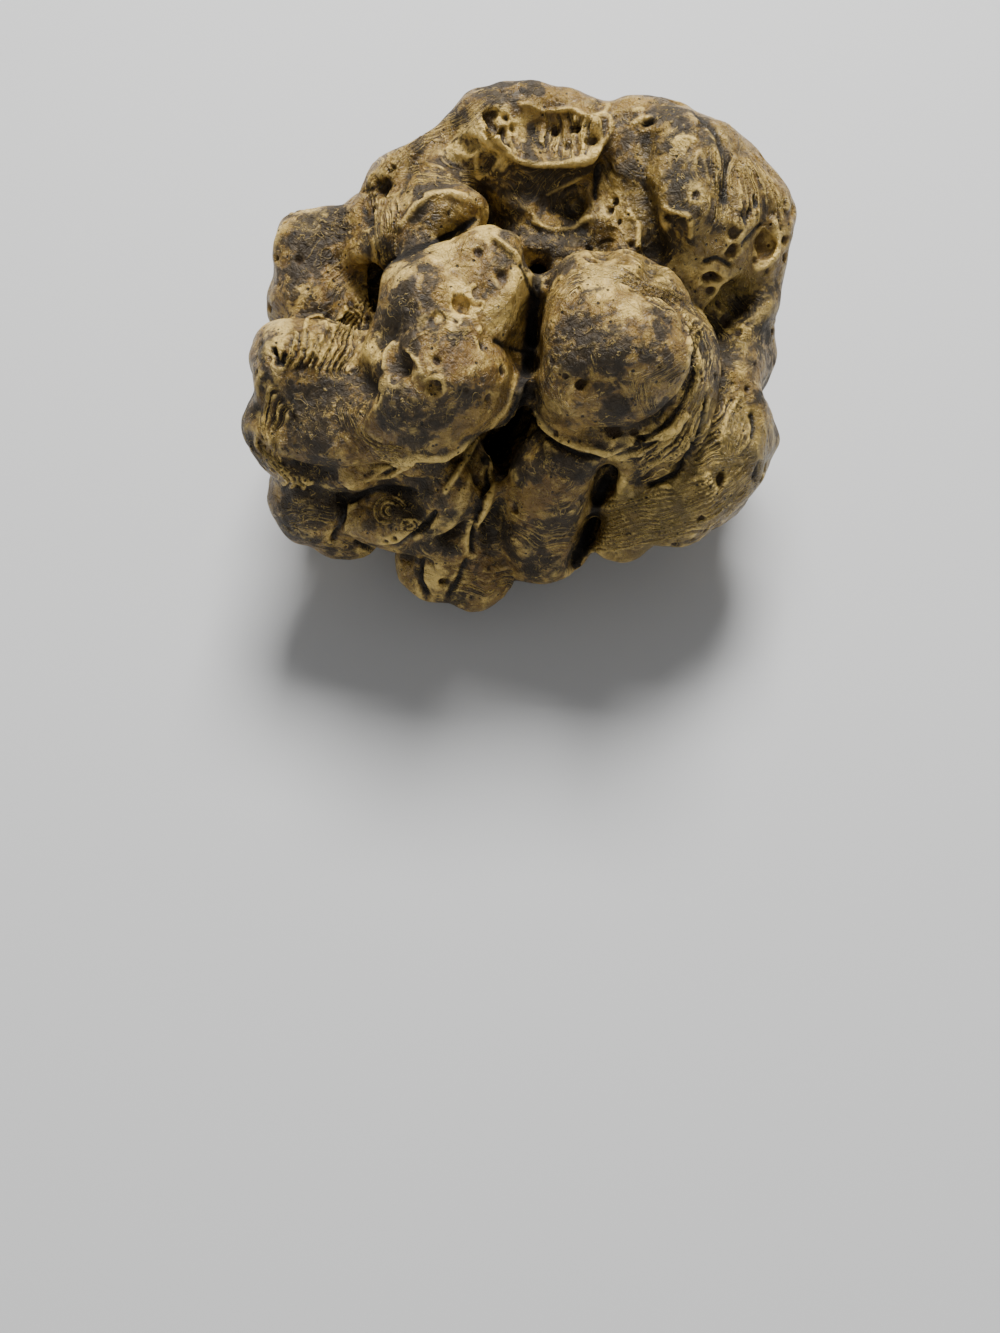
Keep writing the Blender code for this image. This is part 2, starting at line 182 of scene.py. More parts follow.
# Thin raised threads and rims: the line, its half width and its height.
RIDGES = {
    "shell rim": (
        ((-1, 26.3), (0.5, 25.3), (3, 24.7), (7, 24.8), (10, 25.5), (12, 27.5), (11.2, 30.5)),
        0.42,
        0.75,
    ),
    "shell brow": (
        ((1, 33), (2, 33), (4, 32), (8, 32.5), (10, 31), (12, 31.5), (12.8, 32.6)),
        0.36,
        0.45,
    ),
    "shell loop": (((12, 27.5), (13.3, 29.5), (13, 31.3), (12, 31.5)), 0.3, 0.5),
    "knob strip": (((-3.2, 29.3), (-1.8, 27.3), (-0.6, 26.6)), 0.4, 0.6),
    "valley thread": (((4.5, 20.7), (7, 22), (9, 23.3)), 0.3, 0.15),
    "valley line": (((2.5, 17), (5, 15.9), (8, 16), (10, 17.5)), 0.35, 0.2),
    "tongue brow": (((-15.5, 16.5), (-13.5, 19), (-11.5, 20.7), (-9, 21), (-7, 20.3)), 0.5, 0.6),
    "peak edge": (((-3, 15.2), (0, 12.5), (1.5, 9), (3, 7)), 0.35, 0.4),
    "seam fold": (((15.5, 18.5), (17, 16.5), (16.7, 13.8)), 0.4, 0.35),
    "crown thread": (((13.5, 31.8), (15, 32.2), (17.5, 32.3)), 0.3, 0.35),
    "crown ledge": (((16, 30.5), (17.3, 31.1), (18.7, 31.4)), 0.35, 0.5),
    "crown flake": (((21.7, 27.6), (22.5, 28.4), (23.6, 28.4), (24.4, 28)), 0.4, 0.35),
    "crown arch, left": (((21.2, 24.5), (21.2, 26), (22, 27.2)), 0.35, 0.2),
    "crown arch, right": (
        ((24.6, 24.3), (24.8, 26.3), (25.5, 26.6), (26, 24.8), (26.6, 22.5)),
        0.35,
        0.2,
    ),
    "crown patch": (((20.5, 19), (22, 18.2), (23.8, 18), (24.2, 16.5), (24, 15)), 0.35, 0.3),
    "end rim": (((35.3, 17), (36, 15.2), (35.8, 12.7), (34.6, 11), (33, 10.5)), 0.4, 0.4),
    "cup rim": (((-8.8, 6.2), (-7.4, 7), (-6, 6.2), (-6, 4.6)), 0.35, 0.35),
    "crater rim, left": (((-17.8, -3.2), (-17.5, -1), (-16.3, 0.3)), 0.35, 0.4),
    "crater rim, right": (((-14.5, -0.8), (-13.2, -2), (-12.6, -3.8)), 0.35, 0.4),
    "small hollow rim": (((-12.3, -4.6), (-11, -4.2), (-9.8, -4.6), (-9.6, -5.8)), 0.35, 0.4),
    "ropy strand": (((-5.5, -13), (-7, -16), (-8.3, -18), (-9.5, -19.8)), 0.4, 0.6),
    "torn strip, upper": (((-20, -18.3), (-17.5, -16.4), (-14, -15.7)), 0.35, 0.6),
    "torn strip, lower": (((-20, -18.3), (-17, -17.8), (-14, -15.9)), 0.35, 0.6),
    "torn rim, right": (((17.5, -13.2), (20, -12), (22, -11.3), (23.3, -9.5)), 0.45, 0.8),
    "torn rim, lower": (((13, -14.8), (15, -14.5), (17.3, -14.4)), 0.4, 0.6),
    "torn rim, left": (((3, -9.3), (6, -12.6), (9.5, -14), (12.5, -14.5)), 0.45, 0.7),
    "leaf outline": (
        (
            (30.8, -6.5),
            (29, -9.5),
            (28, -13),
            (28.6, -15),
            (30, -15.2),
            (32, -13),
            (32.4, -10),
            (30.8, -6.5),
        ),
        0.35,
        0.25,
    ),
    "collar loop": (((25, 0.7), (26.3, -1.5), (26, -4.3), (25.2, -3), (25, 0.7)), 0.3, 0.25),
    "left end loop": (((-28.6, 2.3), (-28.2, 3.8), (-26.5, 4.3), (-25.6, 2.6)), 0.3, 0.4),
    "front edge": (
        ((-19, -16.8), (-14, -15.3), (-9, -14.8), (-5, -12.5), (-1, -8.5), (0, -4)),
        0.5,
        0.5,
    ),
}

# Combs of threads: the first line, the last line, how many threads and their height.
COMBS = {
    "crown left, outer": (
        ((-13, 29.6), (-17.5, 27.3), (-19.8, 24.5), (-21.3, 21.8)),
        ((-12.5, 27.3), (-15.5, 25), (-16.8, 21.5), (-17.3, 17)),
        7,
        0.40,
    ),
    "crown left, top": (
        ((-4.5, 34.8), (-8, 32), (-12, 29.8)),
        ((-2.8, 33), (-5.5, 30.6), (-8.5, 28.9), (-12, 28)),
        7,
        0.25,
    ),
    "crown left, lower": (
        ((-19.6, 20), (-19.4, 16), (-18.8, 12)),
        ((-15.3, 19.5), (-15.8, 15.5), (-16, 12.8)),
        7,
        0.40,
    ),
    "crown left, body": (
        ((-14, 26), (-9, 24.5), (-5, 24)),
        ((-13, 21.8), (-9.5, 22.3), (-5.5, 21.6)),
        5,
        0.22,
    ),
    "shell rays": (
        ((4, 31), (3.6, 28.5), (4.6, 26)),
        ((11.3, 30.5), (11.2, 28.5), (10.3, 26.3)),
        5,
        0.24,
    ),
    "fringe, falling": (((-30.3, 1.2), (-31.6, -2.4)), ((-20.6, 0.5), (-22.8, -3.2)), 8, 0.45),
    "fringe, rising": (
        ((-25.5, 0.3), (-24.3, 3.2), (-22.5, 5.2)),
        ((-21, 0.8), (-20.3, 3.5), (-19.4, 6)),
        6,
        0.45,
    ),
    "crown furrows": (
        ((26.5, 26), (26.9, 22), (26.3, 18)),
        ((29.4, 26), (29.6, 22), (28.9, 17)),
        4,
        0.19,
    ),
    "crown end lines": (
        ((33, 26), (36, 22), (37.3, 17.5)),
        ((30.5, 24), (31.3, 20.5), (30.8, 17)),
        7,
        0.19,
    ),
    "collar streaks": (
        ((19.5, 9), (24, 6.3), (27.3, 3.8), (29.5, 1.2)),
        ((18, 6.5), (21.5, 4.5), (24, 2.5)),
        6,
        0.22,
    ),
    "ball rings": (
        ((4, 6.5), (7, 10), (11, 11.6), (15, 10.7), (19, 8.3)),
        ((6.5, 5.5), (8.5, 8.5), (11.3, 9.6), (14.5, 8.8), (17.5, 6.8)),
        4,
        0.25,
    ),
    "collar rings": (
        ((22.5, 5), (24, 1), (24.2, -3), (22.8, -8), (20, -11), (16.5, -12.8)),
        ((25.5, 2), (27, -2), (26.5, -6.5), (25.3, -11), (22.5, -16), (18, -18.5)),
        5,
        0.30,
    ),
    "right front sweeps": (
        ((13, -21), (19, -20), (26, -18), (32, -13.5)),
        ((11, -28), (19, -27), (27, -25), (33, -20)),
        12,
        0.20,
    ),
    "right front, upper": (
        ((24.5, -13), (27, -9.5), (29.5, -7)),
        ((25, -16.5), (28, -15.8), (31, -15.6)),
        5,
        0.20,
    ),
    "ball scratches": (
        ((15, -4.5), (18, -3), (22, -0.5)),
        ((16, -7), (19.5, -5.5), (22.5, -4)),
        6,
        0.11,
    ),
    "ball feather": (((15.5, -5.5), (17, -9)), ((18.5, -5.5), (19, -9)), 6, 0.17),
    "ball, left side": (
        ((2.8, 4), (2.3, -1), (2.6, -5.5), (5, -9.5)),
        ((5.5, 6), (4.6, 0), (5, -4.5), (7.5, -9)),
        6,
        0.17,
    ),
    "leaf strands": (
        ((30.5, -7.5), (29.3, -10.5), (28.8, -14.5)),
        ((31, -7.5), (31.7, -10.5), (30.5, -14.5)),
        4,
        0.17,
    ),
    "left side lines": (
        ((-34, -5), (-35.3, -10), (-35, -14), (-32.5, -18)),
        ((-31, -9.5), (-32.8, -12.5), (-32, -16), (-28, -19)),
        4,
        0.28,
    ),
    "belly arcs": (
        ((-24.5, -8.5), (-23, -12.5), (-20, -15), (-16.5, -15.8)),
        ((-21, -9.5), (-20, -12), (-18, -13.5), (-15.5, -14)),
        5,
        0.22,
    ),
    "neck wrinkles": (
        ((-0.5, -21.5), (3, -23.5), (7, -22.5), (9.5, -20)),
        ((0.5, -18.5), (3.5, -19.5), (7, -18.5)),
        4,
        0.1,
    ),
    "neck folds": (((0, -23), (4, -25.2), (8, -24.5)), ((0, -26.5), (4, -28.5), (7.5, -27.5)), 4, 0.08),
    "toe wrinkles": (((-8, -30), (-4, -31), (0, -30.5)), ((-8, -33.5), (-4, -34.5), (-1, -33)), 4, 0.1),
    "left toe wrinkles": (
        ((-31, -21.5), (-28.5, -20.8), (-25.5, -22)),
        ((-30, -25), (-27.5, -25.5), (-25, -25)),
        4,
        0.08,
    ),
}

# Rings of skin: the place, the largest radius, how many and the height.
RINGS = {
    "knuckle": ((-17, -22.5), 2.6, 3, 0.3),
    "knuckle, right": ((-14.3, -24.6), 1.6, 2, 0.25),
    "neck": ((3.4, -20), 1.6, 2, 0.12),
}

# Deep clefts between lobes, painted near-black with shade at the bottom: the line and its half width.
CLEFTS = {
    "left front to ball": (
        ((3, 9), (2.5, 5), (2.1, 1), (1.6, -3), (1.1, -6.5), (-0.3, -10.5), (-4, -15.5)),
        0.9,
    ),
    "left front to left crown": (
        ((-19.5, 8.5), (-17, 11.5), (-13, 13.5), (-9, 15.1), (-5.5, 17.3)),
        0.45,
    ),
    "neck to right front": (((12.6, -18), (11.5, -21), (10.2, -25), (8.5, -29.5)), 0.7),
}

# Thin cuts, darkened with painted shade: the line, its half width and its depth.
CUTS = {
    "waist of left front": (((2, -1), (-0.5, -0.3), (-2.5, 0.8)), 0.4, 0.4),
    "side hollow": (((-20.6, 18.5), (-20.2, 16.8)), 0.7, 0.9),
    "crown to its end": (((25, 31.5), (28, 29), (29, 25), (28.7, 20)), 0.5, 0.5),
    "seam": (((11.5, 24.5), (10.8, 20.5)), 0.4, 0.9),
    "collar": (((26.2, -6.5), (25.8, -10), (24.5, -14), (22, -17.6), (18.5, -19)), 0.36, 0.9),
    "ball": (((24.4, -1), (24.4, -4), (23.1, -8), (20.2, -11.2), (16.5, -13.4)), 0.36, 0.8),
    "under torn rim": (((12.5, -15.4), (16.8, -13.8), (19.5, -13)), 0.36, 0.9),
    "torn rim, left": (((2.5, -10), (5.5, -13.4), (9, -15), (12, -15.3)), 0.36, 0.9),
    "end slit": (((31.3, 14), (32.5, 15.2), (34, 16.7)), 0.32, 0.45),
    "end hollow": (((26, 11.5), (27.5, 12.2), (29.5, 11)), 0.32, 0.6),
    "end nick, upper": (((32.7, 20.4), (33, 19)), 0.3, 0.5),
    "end nick, left": (((31.3, 18.2), (31.6, 17)), 0.3, 0.5),
    "end nick, lower": (((32.2, 18.7), (32, 17.6)), 0.3, 0.5),
    "crown slit": (((17.9, 30.4), (18.8, 30.8)), 0.36, 1.0),
    "right slit": (((33, -18.2), (33.8, -16)), 0.32, 1.0),
    "leaf hollow": (((32.3, -9.5), (32.7, -11), (32.5, -12.3)), 0.5, 0.8),
    "toe crease": (((-12.8, -29.5), (-13, -32), (-12, -34)), 0.42, 0.9),
    "toe parting": (((-9, -34), (-7.5, -31.5), (-6.5, -29.5)), 0.42, 0.7),
    "neck to toe": (((-3.5, -17), (-4.5, -21), (-5.5, -24.5), (-5.5, -28)), 0.5, 1.2),
    "knuckle brow": (((-22.5, -21), (-20, -20), (-17, -19.6), (-14, -20)), 0.42, 0.8),
    "knuckle foot": (((-21.5, -26.8), (-19, -27.8), (-16, -27.6), (-13, -25.5), (-11, -23)), 0.42, 1.0),
    "toes parting": (((-23.5, -21), (-23.8, -24), (-24.5, -26.5)), 0.5, 1.2),
    "left slit": (((-33, -0.3), (-32.5, -2.2)), 0.32, 1.0),
    "left slit, second": (((-31.5, -1), (-31.9, -2.4)), 0.32, 0.9),
    "peak": (((0.6, 11), (1.7, 8.5), (3.2, 6)), 0.3, 0.5),
}

# Round pits: the place, the radius and the depth.
PITS = {
    "cup": ((-7.4, 5.3), 1.5, 0.5),
    "half cup": ((-10.4, 3.2), 1.1, 0.4),
    "crater": ((-15.2, -2.8), 1.9, 0.45),
    "crater, lower": ((-16, -4), 0.8, 0.5),
    "small hollow": ((-11, -5.5), 1.0, 0.5),
    "speck by crater": ((-10.5, -2), 0.5, 0.6),
    "eye": ((-1.6, 9.6), 0.9, 0.8),
    "knob, square": ((-6.4, 27.4), 1.35, 0.8),
    "knob, round": ((-3.9, 25.3), 1.35, 0.9),
    "shell, first": ((5.5, 29.3), 0.5, 0.8),
    "shell, second": ((8.2, 29.9), 0.55, 0.9),
    "shell, third": ((10.2, 28.3), 0.6, 0.9),
    "shell, fourth": ((6.8, 27.3), 0.4, 0.6),
    "knob, slit": ((-3.3, 31.5), 0.8, 0.9),
    "knob, hollow": ((-1.8, 29.5), 1.5, 1.4),
    "side hole": ((-18, 22), 1.1, 1.2),
    "side slit": ((-19.8, 17.7), 0.9, 1.2),
    "valley, first": ((10.4, 13.2), 0.5, 0.7),
    "valley, second": ((10.6, 11.9), 0.6, 0.8),
    "seam, first": ((12.8, 18.5), 0.55, 0.6),
    "seam, second": ((14.2, 17), 0.4, 0.5),
    "seam, third": ((13.7, 19.8), 0.4, 0.5),
    "seam, fourth": ((16, 13.8), 0.5, 0.6),
    "end, upper": ((30, 15.6), 0.8, 0.7),
    "end, left": ((29.8, 13), 0.9, 1.0),
    "end, round": ((34, 13.6), 1.6, 0.6),
    "end, tip": ((37, 14.4), 0.6, 0.8),
    "under crown": ((26.6, 9.4), 0.8, 1.3),
    "ball": ((9, -5.3), 0.6, 0.8),
    "ball, torn": ((17.2, -12.9), 0.6, 1.0),
    "ball, lower": ((18.3, -15.2), 0.45, 0.8),
    "right front": ((28.1, -18.3), 0.65, 1.0),
    "plate, first": ((28.3, -3.8), 0.5, 0.6),
    "plate, second": ((27.5, -4.3), 0.4, 0.5),
    "left back": ((-29.5, 11.7), 0.5, 0.5),
    "toe": ((-10, -32.1), 0.6, 0.8),
    "knuckle, first": ((-16.4, -26.4), 0.4, 0.5),
    "knuckle, second": ((-17.6, -26.8), 0.4, 0.5),
}

# Pits with a raised pale rim: how high it stands.
PIT_RIMS = {
    "cup": 0.4,
    "half cup": 0.15,
    "crater": 0.08,
    "small hollow": 0.2,
    "end, round": 0.2,
    "knob, hollow": 0.25,
    "knob, square": 0.3,
    "knob, round": 0.3,
}

# Soil stuck to the skin, lobe by lobe: the place, the radius and how thick it lies.
SOIL = {
    "shell floor": (((2.8, 28.3), 2.4, 1.3),),
    "crown, left": (
        ((-8, 31.5), 3, 0.9),
        ((-3.5, 35), 2.8, 0.9),
        ((2, 35.2), 2.4, 0.8),
        ((-12, 29.5), 2, 0.7),
    ),
    "left front, below": (
        ((-7, -7), 2.3, 1.3),
        ((-10, -9.3), 2.2, 1.2),
        ((-13, -9.5), 1.3, 1.0),
        ((-18.5, -3.2), 1.5, 0.9),
        ((-24.5, -4.5), 1.8, 1.0),
        ((-23.5, -7), 1.6, 0.8),
        ((-30, -8.5), 2.4, 0.9),
        ((-29.5, -3.5), 1.6, 0.7),
        ((-25.5, -16), 3, 1.0),
    ),
    "left front, above": (
        ((-17, 4), 2.6, 0.8),
        ((-14.5, 7), 2.2, 0.7),
        ((-12, 9.5), 2, 0.6),
        ((-15, 1), 2.2, 0.7),
        ((-11, 1), 1.6, 0.7),
        ((-3.5, 8), 1.6, 0.6),
    ),
    "left back": (
        ((-28, 13.5), 3.6, 1.3),
        ((-30.5, 9), 2.4, 0.7),
        ((-24.5, 7.5), 2, 0.8),
        ((-24, 17), 1.6, 0.5),
    ),
    "ball": (
        ((9.5, -0.5), 2.0, 1.3),
        ((8.5, 3.5), 2.3, 1.1),
        ((19.5, 3), 2.2, 0.8),
        ((14, -3.5), 4, 0.9),
        ((20.5, -3), 2.6, 0.7),
        ((14, -9), 3.4, 1.1),
        ((19, -8), 2.2, 0.8),
        ((10.5, 7.5), 2.2, 0.6),
    ),
    "under ball": (((17, -17), 2.6, 0.8), ((8, -16.5), 2.8, 0.8)),
    "collar": (((28, 0), 2.4, 1.1), ((28.3, -5.5), 2, 1.1), ((33.8, -7), 1.4, 0.9)),
    "valley": (
        ((-4, 23), 3.5, 0.9),
        ((2, 22.5), 3.5, 1.0),
        ((7, 22.5), 3, 0.9),
        ((0, 18), 3, 0.8),
        ((3, 13), 3.2, 0.8),
        ((-1, 15.5), 1.8, 0.6),
    ),
    "left crown": (
        ((-13, 22.5), 2.6, 0.7),
        ((-12, 19.3), 1.2, 0.8),
        ((-12.5, 27.5), 1.8, 0.7),
        ((-5, 32), 1.6, 0.6),
    ),
    "right crown": (
        ((16.5, 24), 3, 0.8),
        ((20, 31.5), 2.4, 0.5),
        ((25, 30), 2, 0.4),
        ((27, 17), 2.6, 0.6),
    ),
    "toes": (((-12, -20), 3, 1.0), ((-9, -28), 1.8, 0.9), ((-3, -27), 2.2, 0.9), ((-13, -31), 1, 0.9)),
    "neck": (((1.5, -15.5), 2, 0.5), ((5, -27), 2, 0.6)),
    "collar, above": (((22, 7.5), 1.6, 0.8),),
}

# Thin dark films over a wide area, which also darken the left and lower lobes: the place, the radius
# and how dense it is.
FILM = {
    "left front, side": (((-29, -6), 9, 0.9),),
    "left back": (((-27.5, 15), 5, 0.8),),
    "toes": (((-11, -22), 12, 0.7),),
    "neck": (((3, -20), 9, 0.8),),
    "left front": (((-14, 4), 7, 0.7),),
    "ball": (((14, -4), 9, 0.8),),
    "right crown": (((22, 17), 9, 0.5),),
    "valley": (((2, 20), 9, 0.8),),
    "right end": (((31, 5), 7, 0.6),),
    "collar": (((28, -2), 5, 0.9),),
    "left toe": (((-28, -21), 8, 0.6),),
}

# Bare cream skin: the place, the radius and how pale it is.
CREAM = {
    "knob": (
        ((-4.5, 27), 2, 1.0),
        ((-2.5, 25.3), 1.6, 0.8),
        ((-5.5, 29), 2.6, 1.0),
        ((-2, 32.5), 1.8, 0.9),
        ((-7.5, 27), 2.2, 0.9),
        ((0.5, 30.5), 1.4, 0.8),
    ),
    "left back": (((-29.5, 6.8), 2.2, 0.6), ((-28, 18), 2.4, 0.6)),
    "shell": (((9, 28.5), 2.6, 0.7),),
    "peak": (((-4, 16), 2.2, 1.0), ((-9.5, 13), 2.5, 0.9)),
    "left front, right edge": (((1, 8.5), 2.6, 1.0), ((-0.5, 5), 2.4, 0.9), ((-3, 3), 2.4, 0.5)),
    "left front, above": (((-16, 10), 2.2, 0.7),),
    "fringe": (((-20, -0.5), 1.8, 1.0), ((-18.6, 1), 1.2, 0.9)),
    "cup": (((-7.4, 7), 1.6, 0.8),),
    "left end": (((-32, 2.5), 2.2, 0.8), ((-27, 0), 2.4, 0.7)),
    "tongue": (((-15, 20), 1.8, 0.6),),
    "seam": (((13.5, 19), 2.2, 0.9),),
    "crown flake": (((23, 27.8), 1.4, 1.0),),
    "ball": (((11.5, 9.5), 3, 0.9), ((16, 5), 2.4, 0.7), ((12, 7.5), 1.8, 0.9)),
    "torn rim": (((20, -12), 2, 1.0), ((14, -14.5), 1.8, 0.8)),
    "under crown": (((24.5, 10), 2, 0.6),),
    "right end": (((36.5, 15), 1.6, 0.7),),
    "toes": (((-11, -31.5), 1.8, 1.0), ((-17, -26.5), 1.6, 0.7)),
    "collar": (((25.6, -2), 1.4, 0.8),),
}

# Olive, smoother skin: the place, the radius and how green it is.
OLIVE = {
    "right crown": (((22, 20), 12, 0.6),),
    "right end": (((31, 5), 7, 0.9),),
    "right front": (((29, -14), 10, 1.0),),
    "right front, below": (((20, -22), 10, 0.9),),
    "under crown": (((20, 12), 6, 0.7),),
    "left front, below": (((-12, -12), 5, 0.4),),
    "tongue": (((-10, 17), 4, 0.5),),
}

# Warm brown skin: the place, the radius and how warm it is.
RUSSET = {
    "left front, below": (((-16, -8), 5, 0.8),),
    "left front": (((-7, -2), 5, 0.7),),
    "crater": (((-15, -4), 2.5, 0.8),),
    "left front, edge": (((-20, -13), 4, 0.6),),
    "neck": (((3, -22), 7, 0.7),),
    "toe": (((-4, -31), 6, 0.7),),
    "left toe": (((-28, -22), 5, 0.7),),
    "neck, foot": (((4, -27), 5, 0.8),),
    "knuckle": (((-8, -24), 3, 0.6),),
    "left back": (((-27, 10), 5, 0.5),),
}


def apply_modifier(obj, kind, **settings):
    modifier = obj.modifiers.new(kind.title(), kind)
    for key, value in settings.items():
        setattr(modifier, key, value)
    bpy.context.view_layer.objects.active = obj
    bpy.ops.object.modifier_apply(modifier=modifier.name)


def add_camera():
    data = bpy.data.cameras.new("camera")
    data.sensor_width = SENSOR_WIDTH
    data.lens = LENS
    data.clip_start = CAMERA_NEAREST
    camera = bpy.data.objects.new("camera", data)
    camera.location = STANDPOINT * MM
    camera.rotation_euler = (CAMERA_TILT, 0, 0)
    bpy.context.scene.collection.objects.link(camera)
    bpy.context.scene.camera = camera


def add_light(name, place, size, power, colour):
    data = bpy.data.lights.new(name, "AREA")
    data.size = size
    data.energy = power
    data.color = colour
    light = bpy.data.objects.new(name, data)
    light.location = place
    light.rotation_mode = "QUATERNION"
    light.rotation_quaternion = (Vector(LIT_PLACE) - Vector(place)).to_track_quat("-Z", "Y")
    bpy.context.scene.collection.objects.link(light)


def add_room():
    """A pale room, which lights everything a little."""
    world = bpy.data.worlds.new("room")
    world.use_nodes = True
    background = world.node_tree.nodes["Background"]
    background.inputs["Color"].default_value = ROOM_COLOUR
    background.inputs["Strength"].default_value = ROOM_STRENGTH
    bpy.context.scene.world = world


def add_floor():
    bpy.ops.object.select_all(action="DESELECT")
    bpy.ops.mesh.primitive_plane_add(size=FLOOR_SIZE, location=(0, 0, 0))
    floor = bpy.context.object
    floor.name = "floor"
    material = bpy.data.materials.new("pale floor")
    material.use_nodes = True
    shader = material.node_tree.nodes["Principled BSDF"]
    shader.inputs["Base Color"].default_value = FLOOR_COLOUR
    shader.inputs["Roughness"].default_value = FLOOR_ROUGHNESS
    floor.data.materials.append(material)


def add_studio():
    """A large soft light above and behind, a weak one in front, and a pale room."""
    for name, settings in LIGHTS.items():
        add_light(name, *settings)
    add_room()


def skin_copy():
    """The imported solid's surface, in millimetres, closed and freed of its facets."""
    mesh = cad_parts["white_truffle"].data.copy()
    mesh.name = SKIN
    piece = bpy.data.objects.new(SKIN, mesh)
    bpy.context.scene.collection.objects.link(piece)
    mesh.materials.clear()
    shape = bmesh.new()
    shape.from_mesh(mesh)
    bmesh.ops.remove_doubles(shape, verts=shape.verts, dist=WELD)
    bmesh.ops.scale(shape, vec=(1 / MM, 1 / MM, 1 / MM), verts=shape.verts)
    shape.to_mesh(mesh)
    shape.free()
    apply_modifier(piece, "SUBSURF", levels=1, render_levels=1)
    apply_modifier(piece, "REMESH", mode="VOXEL", voxel_size=SKIN_STEP)
    apply_modifier(piece, "SMOOTH", factor=0.5, iterations=FACET_ROUNDS)
    return piece


class Skin:
    """The skin's points, and how the standpoint sees each of them."""

    def __init__(self, piece):
        self.piece = piece
        mesh = piece.data
        ends = np.empty(len(mesh.edges) * 2, np.int32)
        mesh.edges.foreach_get("vertices", ends)
        self.start, self.end = ends.reshape(-1, 2).T
        count = len(mesh.vertices)
        self.degree = np.bincount(self.start, minlength=count)
        self.degree += np.bincount(self.end, minlength=count)
        self.read()
        self.look()

    def read(self):
        """Takes the points and their outward directions from the mesh."""
        flat = np.empty(len(self.piece.data.vertices) * 3, np.float32)
        self.piece.data.vertices.foreach_get("co", flat)
        self.points = flat.reshape(-1, 3).astype(float)
        self.piece.data.vertices.foreach_get("normal", flat)
        self.outward = flat.reshape(-1, 3).astype(float)

    def look(self):
        """Where the standpoint sees each point, and which points it sees at all."""
        away = self.points - np.array(STANDPOINT)
        facing = np.cross(ACROSS, UP)
        reach = np.dot(MIDDLE - STANDPOINT, facing) / (away @ facing)
        on_plane = np.array(STANDPOINT) + away * reach[:, None] - np.array(MIDDLE)
        self.seen_at = np.stack([on_plane @ np.array(ACROSS), on_plane @ np.array(UP)], axis=1)
        self.tree = BVHTree.FromPolygons(
            [vertex.co for vertex in self.piece.data.vertices],
            [tuple(polygon.vertices) for polygon in self.piece.data.polygons],
        )
        seen = np.zeros(len(self.points))
        for index, point in enumerate(self.points):
            hit = self.tree.ray_cast(STANDPOINT, Vector(away[index]))[0]
            seen[index] = hit is not None and (hit - Vector(point)).length < SEEN_WITHIN
        self.seen = self.averaged(seen, rounds=2)
        slant = -(self.outward * away).sum(axis=1) / np.linalg.norm(away, axis=1)
        self.facing = self.seen * np.clip(slant / EDGE_SLANT - EDGE_GAP, 0, 1)

    def averaged(self, values, rounds):
        """Values averaged with their neighbours, round after round."""
        columns = values.reshape(len(values), -1)
        for _ in range(rounds):
            total = np.empty_like(columns)
            for axis in range(columns.shape[1]):
                column = columns[:, axis]
                total[:, axis] = np.bincount(self.start, column[self.end], len(column))
                total[:, axis] += np.bincount(self.end, column[self.start], len(column))
            columns = 0.5 * columns + 0.5 * total / self.degree[:, None]
        return columns.reshape(values.shape)

    def none(self):
        """A trace that is 0 at every point."""
        return np.zeros(len(self.points))

    def write(self):
        """Puts the points back into the mesh."""
        self.piece.data.vertices.foreach_set("co", self.points.ravel())
        self.piece.data.update()

    def push(self, amount):
        """Moves every point outwards by its amount."""
        self.points += amount[:, None] * self.outward
        self.write()
        self.read()

    def near(self, corners, reach):
        """The seen points that lie within reach of the corners' box."""
        inside = (self.seen_at > corners.min(axis=0) - reach).all(axis=1)
        inside &= (self.seen_at < corners.max(axis=0) + reach).all(axis=1)
        return np.flatnonzero(inside & (self.seen > BARELY_SEEN))

    def spot(self, across, up):
        """The point that the standpoint sees at this place."""
        target = MIDDLE + across * ACROSS + up * UP
        hit = self.tree.ray_cast(STANDPOINT, target - STANDPOINT)[0]
        return None if hit is None else np.array(hit)

    def waves(self, spacing, shift):
        """Smooth noise, about -0.6 to 0.6: how far apart its waves are, and which ones."""
        places = self.points / spacing + shift
        return np.array([noise.noise(place) for place in places])

    def layers(self, table):
        """Layers of smooth noise, added up."""
        return sum(height * self.waves(spacing, shift) for spacing, shift, height in table)

    def above(self, rounds):
        """How far each point stands above its surroundings, out to some steps of the mesh."""
        return ((self.points - self.averaged(self.points, rounds)) * self.outward).sum(axis=1)


def smooth_line(corners, count=None):
    """Points laid closely along a smooth line that follows the corners."""
    corners = np.array(corners, float)
    count = count or POINTS_PER_CORNER * len(corners)
    places = np.linspace(0, len(corners) - 1, count)
    numbers = np.arange(len(corners))
    line = np.stack([np.interp(places, numbers, column) for column in corners.T], axis=1)
    for _ in range(count // 4):
        line[1:-1] = (line[:-2] + 2 * line[1:-1] + line[2:]) / 4
    return line


def beside(skin, line, reach):
    """How far each seen point near the line lies from it; the others lie endlessly far."""
    away = np.full(len(skin.points), np.inf)
    near = skin.near(line, reach)
    places = skin.seen_at[near]
    starts = line[:-1]
    steps = line[1:] - starts
    lengths = (steps**2).sum(axis=1)
    closest = np.full(len(near), np.inf)
    for start, step, length in zip(starts, steps, lengths):
        along = np.clip((places - start) @ step / length, 0, 1)
        closest = np.minimum(closest, np.hypot(*(places - start - along[:, None] * step).T))
    away[near] = closest
    return away


def along_line(skin, corners, width):
    """1 on the line, falling to 0 over about twice the half width."""
    away = beside(skin, smooth_line(corners), LINE_REACH * width)
    return np.exp(-((away / width) ** 2))


def broken(skin, amount=0.45):
    """A factor that lets strands swell, thin and break off along their length."""
    return np.clip(1 + amount * skin.layers(STRAND_WAVES), *STRAND_RANGE)


def roughen(skin):
    """Slow swellings and small lumps all over the skin."""
    skin.push(skin.layers(LUMPS))


